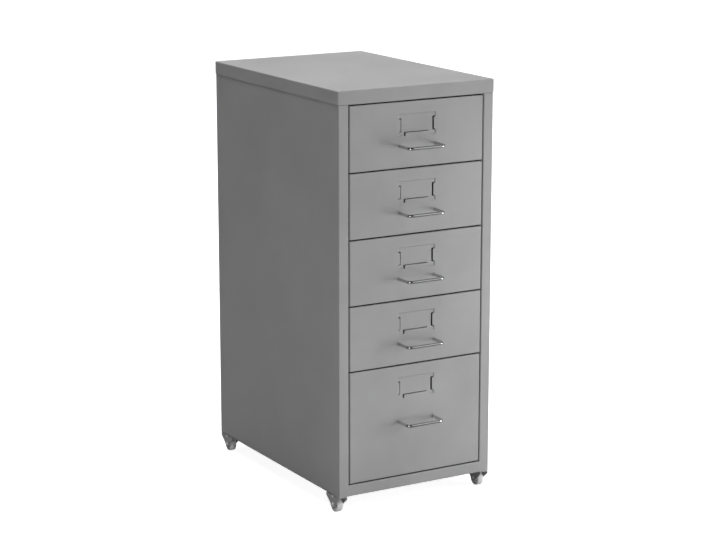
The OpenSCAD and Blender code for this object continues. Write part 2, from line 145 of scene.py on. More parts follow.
def dome(radius: float, height: float, flat: float, steps: int) -> list[Station]:
    """Rings of a low dome, from its edge up to a flat, whose radius is a share of the edge's."""
    spread = [(flat + (1.0 - flat) * math.cos(angle), math.sin(angle)) for angle in quarter(steps)]
    return [(radius * out, height * up) for out, up in spread]


def show(thing: Object) -> Object:
    """Puts a new object into the scene and gives it back."""
    bpy.context.scene.collection.objects.link(thing)
    return thing


@dataclass
class Draft:
    """Points and faces of one piece while it is put together."""

    points: list[Vector] = field(default_factory=list)
    faces: list[tuple[int, ...]] = field(default_factory=list)

    def loop(self, points: Iterable[Vector]) -> list[int]:
        """Adds points and gives back their numbers.

        Args:
            points: Corner points, in order.

        Returns:
            The number of each added point.
        """
        first = len(self.points)
        self.points.extend(points)
        return list(range(first, len(self.points)))

    def skin(self, first: list[int], second: list[int]) -> None:
        """Joins two closed loops with a band of four-sided faces."""
        self.faces.extend(zip(first, first[1:] + first[:1], second[1:] + second[:1], second))

    def close(self, loop: list[int], turned: bool = False) -> None:
        """Closes a loop with a fan around its middle.

        Args:
            loop: Point numbers of the loop.
            turned: Whether the fan faces the other way.
        """
        middle = sum((self.points[i] for i in loop), Vector()) / len(loop)
        centre = self.loop([middle])[0]
        for i, point in enumerate(loop):
            after = loop[(i + 1) % len(loop)]
            self.faces.append((after, point, centre) if turned else (point, after, centre))

    def tube(self, loops: list[list[int]], ring_shaped: bool = False) -> None:
        """Skins a row of loops, and closes its ends or joins them with each other.

        Args:
            loops: Point numbers of each loop, from bottom to top.
            ring_shaped: Whether the last loop joins the first one.
        """
        for lower, upper in zip(loops, loops[1:]):
            self.skin(lower, upper)
        if ring_shaped:
            self.skin(loops[-1], loops[0])
        else:
            self.close(loops[0], turned=True)
            self.close(loops[-1])

    def revolve(
        self, stations: Sequence[Station], place: Matrix, segments: int,
        rule: RadiusRule | None = None, ring_shaped: bool = False,
    ) -> None:
        """Turns a profile about the local Z axis of a place.

        Args:
            stations: Radius and height of each ring, bottom outwards and up.
            place: Where the local frame stands.
            segments: Steps around the axis.
            rule: Changes a radius by angle, radius and height.
            ring_shaped: Whether the last ring joins the first one.
        """
        rings = []
        for radius, height in stations:
            points = []
            for angle in around(segments):
                reach = rule(angle, radius, height) if rule else radius
                points.append(place @ Vector((reach * math.cos(angle), reach * math.sin(angle), height)))
            rings.append(self.loop(points))
        self.tube(rings, ring_shaped)


def stand(origin: Sequence[float], direction: Sequence[float]) -> Matrix:
    """Place that starts at a point, its local Z along a direction."""
    turn = Vector(direction).to_track_quat("Z", "Y").to_matrix().to_4x4()
    return Matrix.Translation(Vector(origin)) @ turn


# ---- Fasteners ----


@dataclass(frozen=True)
class Thread:
    """Rolled screw thread."""

    crest: float
    depth: float = 0.00028
    pitch: float = 0.0007
    steps_per_turn: int = 8
    least_steps: int = 4
    segments: int = 24

    def cut(self, draft: Draft, place: Matrix, start: float, end: float) -> None:
        """Adds a threaded rod along the local Z axis.

        Args:
            draft: Draft that takes the rod.
            place: Place whose Z is the rod's axis.
            start: Height where the rod starts.
            end: Height where the rod ends, its thread running out there.
        """
        root = self.crest - self.depth

        def groove(angle: float, limit: float, height: float) -> float:
            """Radius of the helical groove at one point, for revolve()."""
            phase = (height / self.pitch - angle / TURN) % 1.0
            return min(limit, root + self.depth * (1.0 - abs(2.0 * phase - 1.0)))

        count = max(self.least_steps, round((end - start) / self.pitch * self.steps_per_turn))
        stations = [(self.crest, start + (end - start) * i / count) for i in range(count)]
        stations.append((root, end))
        draft.revolve(stations, place, self.segments, groove)


@dataclass(frozen=True)
class HexNut:
    """Hexagonal nut with both faces chamfered."""

    corners: float = 0.0076
    height: float = 0.003
    bore: float = 0.002
    lip: float = 0.0002
    chamfer: float = 0.00042
    land: float = 0.00305
    segments: int = 72

    def make(self, draft: Draft, place: Matrix) -> None:
        """Adds one nut that stands on its face.

        Args:
            draft: Draft that takes the nut.
            place: Place whose Z runs up through the bore.
        """
        corner = self.corners / 2
        sixth = TURN / 6
        flat = corner * math.cos(sixth / 2)

        def hexagon(angle: float, limit: float, height: float) -> float:
            """Radius limited by the nearest of the six flats, for revolve()."""
            off = (angle % sixth) - sixth / 2
            return min(limit, flat / math.cos(off))

        middle = (self.land + corner) / 2
        half = self.chamfer / 2
        top = self.height
        stations = [
            (self.bore + self.lip, 0.0), (self.land, 0.0), (middle, half), (corner, self.chamfer),
            (corner, top - self.chamfer), (middle, top - half), (self.land, top),
            (self.bore + self.lip, top), (self.bore, top - self.lip), (self.bore, self.lip),
        ]
        draft.revolve(stations, place, self.segments, hexagon, ring_shaped=True)


@dataclass(frozen=True)
class PanScrew:
    """Pan-head screw with a cross recess."""

    head_radius: float = 0.003
    head_height: float = 0.001
    inset: float = 0.00011
    shoulder: float = 0.000528
    wall: float = 0.000352
    crown: float = 3.2
    thread: Thread = Thread(crest=0.0015, depth=0.0002, pitch=0.0005)
    length: float = 0.006
    arm_reach: float = 0.0017
    arm_half_width: float = 0.00042
    arm_wall: float = 0.35
    arm_rise: float = 0.45
    recess: float = 0.0007
    rings: int = 22
    segments: int = 64

    def make(self, draft: Draft, place: Matrix) -> None:
        """Adds one screw, its head below the local origin and its shank along +Z.

        Args:
            draft: Draft that takes the screw.
            place: Place whose Z is the way the screw is driven.
        """
        self.thread.cut(draft, place, 0.0, self.length)
        profile = []
        for i in range(1, self.rings + 1):
            share = i / self.rings
            height = self.head_height - (self.head_height - self.shoulder) * share**self.crown
            profile.append(((self.head_radius - self.inset) * share, height))
        profile += [(self.head_radius, self.wall), (self.head_radius, 0.0)]
        loops = []
        for radius, height in profile:
            points = []
            for angle in around(self.segments):
                x, y = radius * math.cos(angle), radius * math.sin(angle)
                points.append(place @ Vector((x, y, self.sunk(x, y) - height)))
            loops.append(draft.loop(points))
        draft.tube(loops)

    def sunk(self, x: float, y: float) -> float:
        """Depth of the cross recess under one point of the head.

        Args:
            x: Distance across the head.
            y: Distance along the head.

        Returns:
            How far the surface lies below the dome.
        """
        depth = 0.0
        for along, across in ((x, y), (y, x)):
            near_end = self.arm_reach - abs(along)
            near_side = self.arm_half_width - abs(across)
            inside = min(near_end, near_side) / (self.arm_wall * self.arm_half_width)
            fall = 1.0 - self.arm_rise * abs(along) / self.arm_reach
            depth = max(depth, self.recess * fall * min(1.0, max(0.0, inside)))
        return depth


# ---- Shader wiring ----


@dataclass
class Wiring:
    """Adds and links the nodes of one node tree."""

    tree: NodeTree

    def add(self, kind: str, *inputs: object, **values: object) -> Node:
        """Adds a node and sets its properties and inputs.

        Args:
            kind: Node type without its "ShaderNode" prefix.
            inputs: What its first inputs get, in order.
            values: Property names, or input names with underscores for spaces, and what they get.

        Returns:
            The new node.
        """
        node = self.tree.nodes.new("ShaderNode" + kind)
        for key, value in values.items():
            if hasattr(node, key):
                setattr(node, key, value)
            else:
                self.feed(node, key.replace("_", " "), value)
        for number, value in enumerate(inputs):
            self.feed(node, number, value)
        return node

    def feed(self, node: Node, name: str | int, value: object) -> None:
        """Links a socket to an input, or sets the input's own value.

        Args:
            node: Node that takes the value.
            name: Name or number of its input.
            value: Output socket, number or colour.
        """
        socket = node.inputs[name]
        if isinstance(value, NodeSocket):
            self.tree.links.new(value, socket)
        elif isinstance(value, tuple) and len(value) == 3 and len(socket.default_value) == 4:
            socket.default_value = (*value, 1.0)
        else:
            socket.default_value = value

    def coordinates(self) -> NodeSocket:
        """Coordinates of the object, in metres."""
        return self.add("TexCoord").outputs["Object"]

    def lean(self) -> NodeSocket:
        """Upward part of the surface's normal, from -1 to 1."""
        normal = self.add("NewGeometry").outputs["Normal"]
        return self.add("SeparateXYZ", normal).outputs["Z"]

    def math(self, operation: str, *values: object, clamp: bool = False) -> NodeSocket:
        """Result of a math node, held between 0 and 1 if clamp is set."""
        return self.add("Math", *values, operation=operation, use_clamp=clamp).outputs[0]

    def scaled(self, mask: object, share: object) -> NodeSocket:
        """Share of a mask."""
        return self.math("MULTIPLY", mask, share)

    def remap(
        self, value: object, low: float, high: float, to_low: float = 0.0, to_high: float = 1.0
    ) -> NodeSocket:
        """Maps low to high of a value onto to_low to to_high, held at both ends."""
        node = self.add("MapRange", value, From_Min=low, From_Max=high, To_Min=to_low, To_Max=to_high)
        return node.outputs["Result"]

    def blend(self, share: object, first: object, second: object) -> NodeSocket:
        """Mixes two colours.

        Args:
            share: How much of the second colour shows.
            first: First colour.
            second: Second colour.

        Returns:
            The mixed colour.
        """
        node = self.add("Mix", share, data_type="RGBA")
        colour_a, colour_b, colour_out = 6, 7, 2
        self.feed(node, colour_a, first)
        self.feed(node, colour_b, second)
        return node.outputs[colour_out]

    def noise(self, scale: object, detail: float, rough: float = 0.5, where: object = None) -> NodeSocket:
        """Noise around 0.5: waves per metre, octaves, their strength, and coordinates if not plain."""
        spot = where if where is not None else self.coordinates()
        return self.add("TexNoise", Scale=scale, Detail=detail, Roughness=rough, Vector=spot).outputs[0]


class EffectGroup(Wiring):
    """A shader node group that several finishes share."""

    def __init__(self, name: str, inputs: dict[str, float], outputs: Sequence[str]) -> None:
        """Makes an empty group with named sockets.

        Args:
            name: Name of the group.
            inputs: Input names and their usual values.
            outputs: Output names.
        """
        super().__init__(bpy.data.node_groups.new(name, "ShaderNodeTree"))
        for label, usual in inputs.items():
            socket = self.tree.interface.new_socket(label, in_out="INPUT", socket_type="NodeSocketFloat")
            socket.default_value = usual
        for label in outputs:
            self.tree.interface.new_socket(label, in_out="OUTPUT", socket_type="NodeSocketFloat")
        self.inputs = self.tree.nodes.new("NodeGroupInput").outputs
        self.outputs = self.tree.nodes.new("NodeGroupOutput").inputs

    def give(self, **results: NodeSocket) -> None:
        """Links results to the outputs of their names."""
        for label, value in results.items():
            self.tree.links.new(value, self.outputs[label])

    def place(self, wires: Wiring, **values: float) -> NodeOutputs:
        """Puts the group into a material.

        Args:
            wires: Wiring of the material's tree.
            values: Input names with underscores for spaces, and their values.

        Returns:
            The outputs of the group node.
        """
        node = wires.tree.nodes.new("ShaderNodeGroup")
        node.node_tree = self.tree
        for label, value in values.items():
            node.inputs[label.replace("_", " ")].default_value = value
        return node.outputs


def orange_peel() -> EffectGroup:
    """Skin of baked powder coat: low waves, fine grain and a slow drift in gloss.

    Returns:
        The finished group.
    """
    usual = {"Wave Scale": 900.0, "Grain Scale": 5200.0, "Grain Share": 0.3}
    group = EffectGroup("Orange Peel", usual, ["Height", "Speckle", "Drift"])
    waves = group.noise(group.inputs["Wave Scale"], detail=1.5, rough=0.45)
    grain = group.noise(group.inputs["Grain Scale"], detail=1.0)
    fine = group.scaled(grain, group.inputs["Grain Share"])
    slow = group.noise(9.0, detail=3.0, rough=0.55)
    group.give(
        Height=group.math("ADD", waves, fine),
        Speckle=group.remap(grain, low=0.32, high=0.68),
        Drift=group.remap(slow, low=0.3, high=0.7),
    )
    return group


def edge_wear_and_highlight() -> EffectGroup:
    """Thin line along folds and cut edges, broken up where hands and cloths have been: real edge wear, and
    on the powder coat a painted highlight along the rounded folds.

    Returns:
        The finished group.
    """
    group = EffectGroup("Edge Wear And Highlight", {"Width": 0.0012, "Breakup": 0.5, "Strength": 1.0}, ["Mask"])
    rounded = group.add("Bevel", samples=6, Radius=group.inputs["Width"]).outputs[0]
    plain = group.add("NewGeometry").outputs["Normal"]
    along = group.add("VectorMath", rounded, plain, operation="DOT_PRODUCT").outputs["Value"]
    line = group.remap(group.math("SUBTRACT", 1.0, along), low=0.03, high=0.25)
    patchy = group.remap(group.noise(60.0, detail=4.0, rough=0.6), low=0.35, high=0.65)
    kept = group.math("SUBTRACT", 1.0, group.scaled(patchy, group.inputs["Breakup"]))
    mask = group.math("MULTIPLY", group.scaled(line, kept), group.inputs["Strength"], clamp=True)
    group.give(Mask=mask)
    return group


def settled_dust() -> EffectGroup:
    """Dust that lies on faces turned upwards, in soft uneven patches.

    Returns:
        The finished group.
    """
    group = EffectGroup("Settled Dust", {"Amount": 0.3, "Patch Scale": 14.0}, ["Mask"])
    upward = group.remap(group.lean(), low=0.55, high=0.98)
    cloudy = group.noise(group.inputs["Patch Scale"], detail=5.0, rough=0.6)
    patches = group.remap(cloudy, low=0.3, high=0.75, to_low=0.25)
    mask = group.math("MULTIPLY", group.scaled(upward, patches), group.inputs["Amount"], clamp=True)
    group.give(Mask=mask)
    return group


def hairlines() -> EffectGroup:
    """Faint wiping marks: long thin streaks, drawn out along one axis.

    Returns:
        The finished group.
    """
    usual = {"Across Scale": 700.0, "Stretch": 0.03, "Tilt": 0.0}
    group = EffectGroup("Hairlines", usual, ["Mask", "Height"])
    turned = group.add("VectorRotate", rotation_type="Y_AXIS", Angle=group.inputs["Tilt"])
    group.feed(turned, "Vector", group.coordinates())
    squeeze = group.add("CombineXYZ", group.inputs["Stretch"], 1.0, 1.0).outputs[0]
    drawn = group.add("VectorMath", turned.outputs[0], squeeze, operation="MULTIPLY").outputs[0]
    streaks = group.noise(group.inputs["Across Scale"], detail=3.0, rough=0.65, where=drawn)
    group.give(Mask=group.remap(streaks, low=0.56, high=0.7), Height=streaks)
    return group


def painted_gap_shade() -> EffectGroup:
    """Painted shade deep in the gaps and slots: an occlusion mask that darkens the colour there, in full on
    level faces and by a share on upright ones.

    Returns:
        The finished group.
    """
    usual = {"Reach": 0.006, "Strength": 1.0, "Upright Share": 0.2}
    group = EffectGroup("Painted Gap Shade", usual, ["Mask"])
    level = group.remap(group.math("ABSOLUTE", group.lean()), low=0.2, high=0.8)
    upright = group.inputs["Upright Share"]
    rest = group.scaled(level, group.math("SUBTRACT", 1.0, upright))
    facing_weight = group.math("ADD", upright, rest)
    # painted shade: occlusion within Reach darkens the colour in gaps and slots
    closed_in = group.add("AmbientOcclusion", samples=8, only_local=False, Distance=group.inputs["Reach"])
    hidden = group.math("SUBTRACT", 1.0, closed_in.outputs["AO"])
    shade_mask = group.scaled(group.remap(hidden, low=0.68, high=0.88), facing_weight)
    group.give(Mask=group.math("MULTIPLY", shade_mask, group.inputs["Strength"], clamp=True))
    return group


@dataclass
class Effects:
    """The shared node groups, built once."""

    peel: EffectGroup = field(default_factory=orange_peel)
    # edge line: real wear, and a painted highlight along folds
    wear_and_highlight: EffectGroup = field(default_factory=edge_wear_and_highlight)
    # painted shade in gaps and slots
    gap_shade: EffectGroup = field(default_factory=painted_gap_shade)
    dust: EffectGroup = field(default_factory=settled_dust)
    lines: EffectGroup = field(default_factory=hairlines)


def tint(colour: Colour, gain: float, lift: float = 0.0) -> Colour:
    """Lighter or darker version of a colour."""
    return tuple(min(1.0, gain * channel + lift) for channel in colour)


def fresh_tree(owner: Material | World) -> NodeTree:
    """Gives a material or a world an empty node tree.

    Args:
        owner: Material or world.

    Returns:
        The empty tree.
    """
    owner.use_nodes = True
    owner.node_tree.nodes.clear()
    return owner.node_tree


class Surface(Wiring):
    """A material with one Principled shader."""

    def __init__(self, name: str, **uniform: object) -> None:
        """Starts the material.

        Args:
            name: Name of the material.
            uniform: Shader inputs that are the same all over, underscores for spaces.
        """
        self.material = bpy.data.materials.new(name)
        super().__init__(fresh_tree(self.material))
        self.shader = self.add("BsdfPrincipled", **uniform)
        self.add("OutputMaterial", self.shader.outputs[0])

    def cover(self, base: NodeSocket, gloss: NodeSocket, **relief: object) -> Material:
        """Links what changes over the surface.

        Args:
            base: Base colour.
            gloss: Roughness.
            relief: Strength, Distance and Height of the bump.

        Returns:
            The finished material.
        """
        bump = self.add("Bump", **relief).outputs[0]
        for name, value in (("Base Color", base), ("Roughness", gloss), ("Normal", bump)):
            self.feed(self.shader, name, value)
        return self.material


@dataclass(frozen=True)
class PowderCoat:
    """Satin grey powder coat on sheet steel."""

    name: str
    colour: Colour = (0.352, 0.352, 0.354)
    roughness: float = 0.46
    swing: float = 0.05
    peel_depth: float = 0.00006
    speckle: float = 0.18
    wiping: float = 0.06
    dust: float = 0.22
    wear_and_highlight: float = 0.42
    gap_shade: float = 1.0
    upright_gap_shade: float = 0.12

    def build(self, effects: Effects) -> Material:
        """Builds the material.

        Args:
            effects: Shared node groups.

        Returns:
            The finished material.
        """
        coat = Surface(self.name, Metallic=0.0, Specular_IOR_Level=0.4)
        peel = effects.peel.place(coat)
        wear_and_highlight = effects.wear_and_highlight.place(coat, Width=0.0018, Breakup=0.45, Strength=self.wear_and_highlight)["Mask"]
        dust = effects.dust.place(coat, Amount=self.dust)["Mask"]
        share = self.upright_gap_shade
        gap_shade = effects.gap_shade.place(coat, Reach=0.006, Strength=self.gap_shade, Upright_Share=share)["Mask"]
        lines = effects.lines.place(coat, Across_Scale=520.0, Stretch=0.04, Tilt=0.5)["Mask"]
        pale = tint(self.colour, gain=1.28, lift=0.03)
        light = tint(self.colour, gain=1.05)
        base = coat.blend(peel["Drift"], tint(self.colour, gain=0.93), light)
        base = coat.blend(coat.scaled(peel["Speckle"], self.speckle), base, light)
        base = coat.blend(coat.scaled(lines, self.wiping), base, pale)
        base = coat.blend(dust, base, tint(self.colour, gain=1.12, lift=0.01))
        # painted highlight along the rounded folds, with some real edge wear
        base = coat.blend(wear_and_highlight, base, pale)
        # painted shade: gaps and slots go near black; the same mask also roughens them
        base = coat.blend(gap_shade, base, tint(self.colour, gain=0.05))
        smooth, rough = self.roughness - self.swing, self.roughness + self.swing
        gloss = coat.remap(peel["Drift"], 0.0, 1.0, smooth, rough)
        gloss = coat.math("ADD", gloss, coat.scaled(dust, share=0.18))
        gloss = coat.math("SUBTRACT", gloss, coat.scaled(wear_and_highlight, share=0.1))
        gloss = coat.math("ADD", gloss, coat.scaled(gap_shade, share=0.5), clamp=True)
        return coat.cover(base, gloss, Strength=0.55, Distance=self.peel_depth, Height=peel["Height"])


@dataclass(frozen=True)
class Chrome:
    """Bright nickel-chrome plate on drawn wire."""

    name: str
    colour: Colour = (0.56, 0.565, 0.57)
    roughness: float = 0.12
    smearing: float = 0.07

    def build(self, effects: Effects) -> Material:
        """Builds the material.

        Args:
            effects: Shared node groups.

        Returns:
            The finished material.
        """
        coat = Surface(self.name, Metallic=1.0)
        lines = effects.lines.place(coat, Across_Scale=2600.0, Stretch=0.02)["Mask"]
        smears = coat.remap(coat.noise(160.0, detail=4.0, rough=0.6), low=0.42, high=0.66)
        base = coat.blend(coat.scaled(smears, share=0.6), self.colour, tint(self.colour, gain=0.86))
        gloss = coat.remap(smears, 0.0, 1.0, self.roughness, self.roughness + self.smearing)
        gloss = coat.math("ADD", gloss, coat.scaled(lines, share=0.08), clamp=True)
        return coat.cover(base, gloss, Strength=0.25, Distance=0.00001, Height=smears)


@dataclass(frozen=True)
class Zinc:
    """Zinc plate on small turned and pressed parts."""

    name: str
    colour: Colour = (0.56, 0.57, 0.58)
    roughness: float = 0.34
    metal: float = 1.0
    polish: float = 0.07
    bloom: float = 0.12

    def build(self, effects: Effects) -> Material:
        """Builds the material.

        Args:
            effects: Shared node groups.

        Returns:
            The finished material.
        """
        coat = Surface(self.name, Metallic=self.metal)
        lines = effects.lines.place(coat, Across_Scale=4200.0, Stretch=0.2)
        wear_and_highlight = effects.wear_and_highlight.place(coat, Width=0.0003, Breakup=0.3, Strength=0.8)["Mask"]
        clouds = coat.remap(coat.noise(700.0, detail=4.0, rough=0.6), low=0.3, high=0.7)
        base = coat.blend(clouds, self.colour, tint(self.colour, gain=0.74))
        base = coat.blend(wear_and_highlight, base, tint(self.colour, gain=1.3))
        gloss = coat.remap(clouds, 0.0, 1.0, self.roughness - self.polish, self.roughness + self.bloom)
        return coat.cover(base, gloss, Strength=0.4, Distance=0.00002, Height=lines["Height"])


@dataclass(frozen=True)
class Nylon:
    """Milky moulded nylon, scuffed where it rolls."""

    name: str
    colour: Colour = (0.95, 0.95, 0.935)
    scuffed: Colour = (0.42, 0.41, 0.39)
    worn: Colour = (0.92, 0.92, 0.9)
    roughness: float = 0.4
    dullness: float = 0.14
    milkiness: Colour = (1.0, 1.0, 0.95)
    milky_depth: float = 0.008

    def build(self, effects: Effects) -> Material:
        """Builds the material.

        Args:
            effects: Shared node groups.

        Returns:
            The finished material.
        """
        coat = Surface(
            self.name, Metallic=0.0, Specular_IOR_Level=0.5,
            Subsurface_Weight=1.0, Subsurface_Radius=self.milkiness, Subsurface_Scale=self.milky_depth,
        )
        peel = effects.peel.place(coat, Wave_Scale=1500.0, Grain_Scale=7000.0, Grain_Share=0.5)
        wear_and_highlight = effects.wear_and_highlight.place(coat, Width=0.0005, Breakup=0.2, Strength=0.7)["Mask"]
        clouds = coat.remap(coat.noise(170.0, detail=3.0), low=0.3, high=0.7)
        scuffs = coat.remap(coat.noise(900.0, detail=5.0, rough=0.7), low=0.6, high=0.85, to_high=0.12)
        base = coat.blend(coat.scaled(clouds, share=0.35), self.colour, tint(self.colour, gain=0.93))
        base = coat.blend(scuffs, base, self.scuffed)
        base = coat.blend(coat.scaled(wear_and_highlight, share=0.5), base, self.worn)
        gloss = coat.remap(clouds, 0.0, 1.0, self.roughness, self.roughness + self.dullness)
        return coat.cover(base, gloss, Strength=0.5, Distance=0.00004, Height=peel["Height"])


@dataclass
class FinishRack:
    """Every finish of the cabinet, one for each material slot, and the rivets' own near-white finish, whose
    pale colour is a painted highlight.
    """

    effects: Effects = field(default_factory=Effects)
    made: dict[Slot, Material] = field(default_factory=dict)
    bright: Material = field(init=False)

    def __post_init__(self) -> None:
        """Builds each finish once."""
        recipes = {
            Slot.CARCASS: PowderCoat("Carcass Powder Coat"),
            Slot.DRAWER: PowderCoat("Drawer Powder Coat", roughness=0.44),
            # the fork takes painted shade in full on upright faces too, darkening the cavity between its
            # cheeks
            Slot.FORK: PowderCoat(
                "Fork Powder Coat", roughness=0.4, dust=0.1, wear_and_highlight=0.55, gap_shade=0.6, upright_gap_shade=1.0
            ),
            Slot.CHROME: Chrome("Handle Chrome"),
            Slot.ZINC: Zinc("Zinc Plate"),
            Slot.NYLON: Nylon("Moulded Nylon"),
        }
        for slot, recipe in recipes.items():
            self.made[slot] = recipe.build(self.effects)
        # near-white, mostly matte zinc: the pale colour is a painted highlight on the small rivet domes
        pale = Zinc("Zinc With Painted Highlight", colour=(0.97, 0.97, 0.97), roughness=0.3, metal=0.15)
        self.bright = pale.build(self.effects)

    def dress(self, node: Object, slot: Slot) -> None:
        """Puts a finish on a frame node.

        Args:
            node: Frame node that stays in view.
            slot: Slot whose finish it takes.
        """
        for place in node.material_slots:
            place.material = self.made[slot]
        LOG.info("%s: frame node, dressed in %s", node.name, slot.value)

    def seat(
        self, draft: Draft, name: str, body: str, slot: Slot, *nodes: str, finish: Material | None = None
    ) -> None:
        """Makes a draft into a dressed piece of the scene, which moves with its body.

        Args:
            draft: The finished draft.
            name: Name of the piece.
            body: Body that it moves with.
            slot: Material slot of its finish.
            nodes: Frame nodes that it replaces.
            finish: Finish that it wears, if not the slot's own.
        """
        mesh = bpy.data.meshes.new(name)
        mesh.from_pydata([tuple(p) for p in draft.points], [], draft.faces)
        mesh.validate()
        mesh.shade_smooth()
        mesh.set_sharp_from_angle(angle=math.radians(SHARP_DEGREES))
        mesh.materials.append(finish or self.made[slot])
        piece = show(bpy.data.objects.new(name, mesh))
        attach(piece, body)
        if nodes:
            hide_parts(*nodes)
        stands_for = ", ".join(nodes) or "no node"
        LOG.info("%s: %d faces, on %s, for %s", name, len(mesh.polygons), body, stands_for)


# ---- The cabinet ----


@dataclass
class Carcass:
    """Folded shell of the cabinet with its runners, washers, fasteners and welds."""

    nodes: dict[str, Object]
    finishes: FinishRack
    half_width: float = 0.1389
    flange: float = 0.015
    back: float = 0.2204
    base: float = 0.0285
    top: float = 0.6675
    post: float = 0.0172
    rail: float = 0.018
    fold: float = 0.0014
    stud_inset: float = 0.04
    screw_inset: float = 0.04
    screw_rows: int = 4
    base_screw_pitch: float = 0.136
    weld_depth: float = 0.0005
    weld_proud: float = 0.00003
    weld_foot: float = 0.0003
    weld_toe: float = 0.0001

    def build(self) -> None:
        """Dresses the panels and makes the fasteners and welds."""
        for name in ("top_cover", "left_side_panel", "right_side_panel", "back_panel", "base_panel"):
            self.finishes.dress(self.nodes[name], Slot.CARCASS)
        for number in range(1, len(HANDLE_HEIGHTS) + 1):
            self.finishes.dress(self.nodes[f"drawer_{number}_runners"], Slot.CARCASS)
        self.finishes.dress(self.nodes["swivel_washers"], Slot.ZINC)
        self.lid_nuts()
        self.back_screws()
        self.base_screws()
        self.rail_welds()

    @property
    def joint_x(self) -> float:
        """Distance from the middle to the line of screws on each side."""
        return self.half_width - self.flange / 2

    def fasten(
        self, name: str, node: str, part: HexNut | PanScrew, spots: Iterable[Spot], drive: Spot
    ) -> None:
        """Makes one kind of fastener at each of its places.

        Args:
            name: Name of the piece.
            node: Frame node that it replaces.
            part: The fastener.
            spots: Where each one sits.
            drive: Where its local Z points.
        """
        draft = Draft()
        for spot in spots:
            part.make(draft, stand(spot, drive))
        self.finishes.seat(draft, name, CABINET, Slot.ZINC, node)

    def lid_nuts(self) -> None:
        """Makes the four nuts that hold the lid down."""
        nut = HexNut()
        height = self.top - 2 * SHEET - nut.height
        rows = (FRONT + self.stud_inset, self.back - self.stud_inset)
        spots = [(side * self.joint_x, y, height) for side in SIDES for y in rows]
        self.fasten("lid_nuts", "top_cover_nuts", nut, spots, UP)

    def back_screws(self) -> None:
        """Makes the two columns of screws in the back panel."""
        pitch = (self.top - self.base - 2 * self.screw_inset) / (self.screw_rows - 1)
        heights = [self.base + self.screw_inset + row * pitch for row in range(self.screw_rows)]
        spots = [(side * self.joint_x, self.back, height) for side in SIDES for height in heights]
        self.fasten("back_panel_screws", "back_screws", PanScrew(), spots, FORWARD)

    def base_screws(self) -> None:
        """Makes the screws under the base."""
        rows = [end * self.base_screw_pitch / 2 for end in SIDES]
        spots = [(side * self.joint_x, y, self.base) for side in SIDES for y in rows]
        self.fasten("base_panel_screws", "base_screws", PanScrew(), spots, UP)

    def rail_welds(self) -> None:
        """Makes the two ground welds that fill the grooves between the front rail and the posts."""
        draft = Draft()
        edge = self.half_width - self.post
        outline = (
            (-self.weld_foot, self.weld_depth), (-self.weld_toe, -self.weld_proud),
            (self.fold, -self.weld_proud), (self.fold, self.weld_depth),
        )
        for side in SIDES:
            loops = []
            for height in (self.base + self.fold, self.base + self.rail - self.fold):
                points = [Vector((side * (edge + x), FRONT + y, height)) for x, y in outline]
                loops.append(draft.loop(points if side > 0 else points[::-1]))
            draft.tube(loops)
        self.finishes.seat(draft, "rail_welds", CABINET, Slot.CARCASS)


@dataclass
class WirePull:
    """Bent wire handle with a threaded end on each leg, and its nuts."""

    number: int
    height: float
    finishes: FinishRack
    wire: float = 0.0025
    leg: float = 0.0322
    reach: float = 0.0305
    bend: float = 0.0075
    thread: Thread = Thread(crest=0.0019)
    thread_over: float = 0.0015
    nut: HexNut = HexNut()
    shoulder: float = 0.0005
    segments: int = 32
    leg_steps: int = 6
    bend_steps: int = 14
    bar_steps: int = 10

    def build(self) -> None:
        """Makes the handle with its threaded ends, and its two nuts."""
        pull, nuts = Draft(), Draft()
        self.bend_wire(pull)
        length = SHEET + self.nut.height + self.thread_over
        for side in SIDES:
            root = (side * self.leg, FRONT, self.height)
            self.thread.cut(pull, stand(root, INWARD), -SHEET, length)
            seat = (side * self.leg, FRONT + SHEET, self.height)
            self.nut.make(nuts, stand(seat, INWARD))
        body = f"drawer_{self.number}"
        self.finishes.seat(pull, f"wire_pull_{self.number}", body, Slot.CHROME, f"{body}_handle")
        self.finishes.seat(nuts, f"pull_nuts_{self.number}", body, Slot.ZINC, f"{body}_nuts")

    def bend_wire(self, draft: Draft) -> None:
        """Adds the bent wire, with a small shoulder at each root.

        Args:
            draft: Draft that takes the wire.
        """
        line = self.centre_line()
        (root, leaving), (end, coming) = line[0], line[-1]
        thin = self.wire - self.shoulder
        stations = [(root, leaving, thin), (root + leaving * self.shoulder, leaving, self.wire)]
        stations += [(point, heading, self.wire) for point, heading in line[1:-1]]
        stations += [(end - coming * self.shoulder, coming, self.wire), (end, coming, thin)]
        rise = Vector(UP)
        loops = []
        for point, heading, radius in stations:
            side = heading.cross(rise)
            points = []
            for angle in around(self.segments):
                points.append(point + side * (radius * math.cos(angle)) + rise * (radius * math.sin(angle)))
            loops.append(draft.loop(points))
        draft.tube(loops[::-1])

    def centre_line(self) -> list[tuple[Vector, Vector]]:
        """Points along the wire from the left leg's root to the right one's.

        Returns:
            Each point with the wire's direction there.
        """
        bar = self.leg - self.bend
        bar_y = FRONT - self.reach
        turn_y = bar_y + self.bend
        half = []
        for step in range(self.leg_steps + 1):
            y = FRONT + (turn_y - FRONT) * (step / self.leg_steps)
            half.append((Vector((-self.leg, y, self.height)), Vector(FORWARD)))
        for angle in quarter(self.bend_steps)[1:]:
            x = -bar - self.bend * math.cos(angle)
            y = turn_y - self.bend * math.sin(angle)
            half.append((Vector((x, y, self.height)), Vector((math.sin(angle), -math.cos(angle), 0))))
        line = list(half)
        for step in range(1, self.bar_steps):
            x = -bar + 2 * bar * step / self.bar_steps
            line.append((Vector((x, bar_y, self.height)), Vector(RIGHTWARD)))
        for point, heading in reversed(half):
            line.append((Vector((-point.x, point.y, point.z)), Vector((heading.x, -heading.y, 0))))
        return line


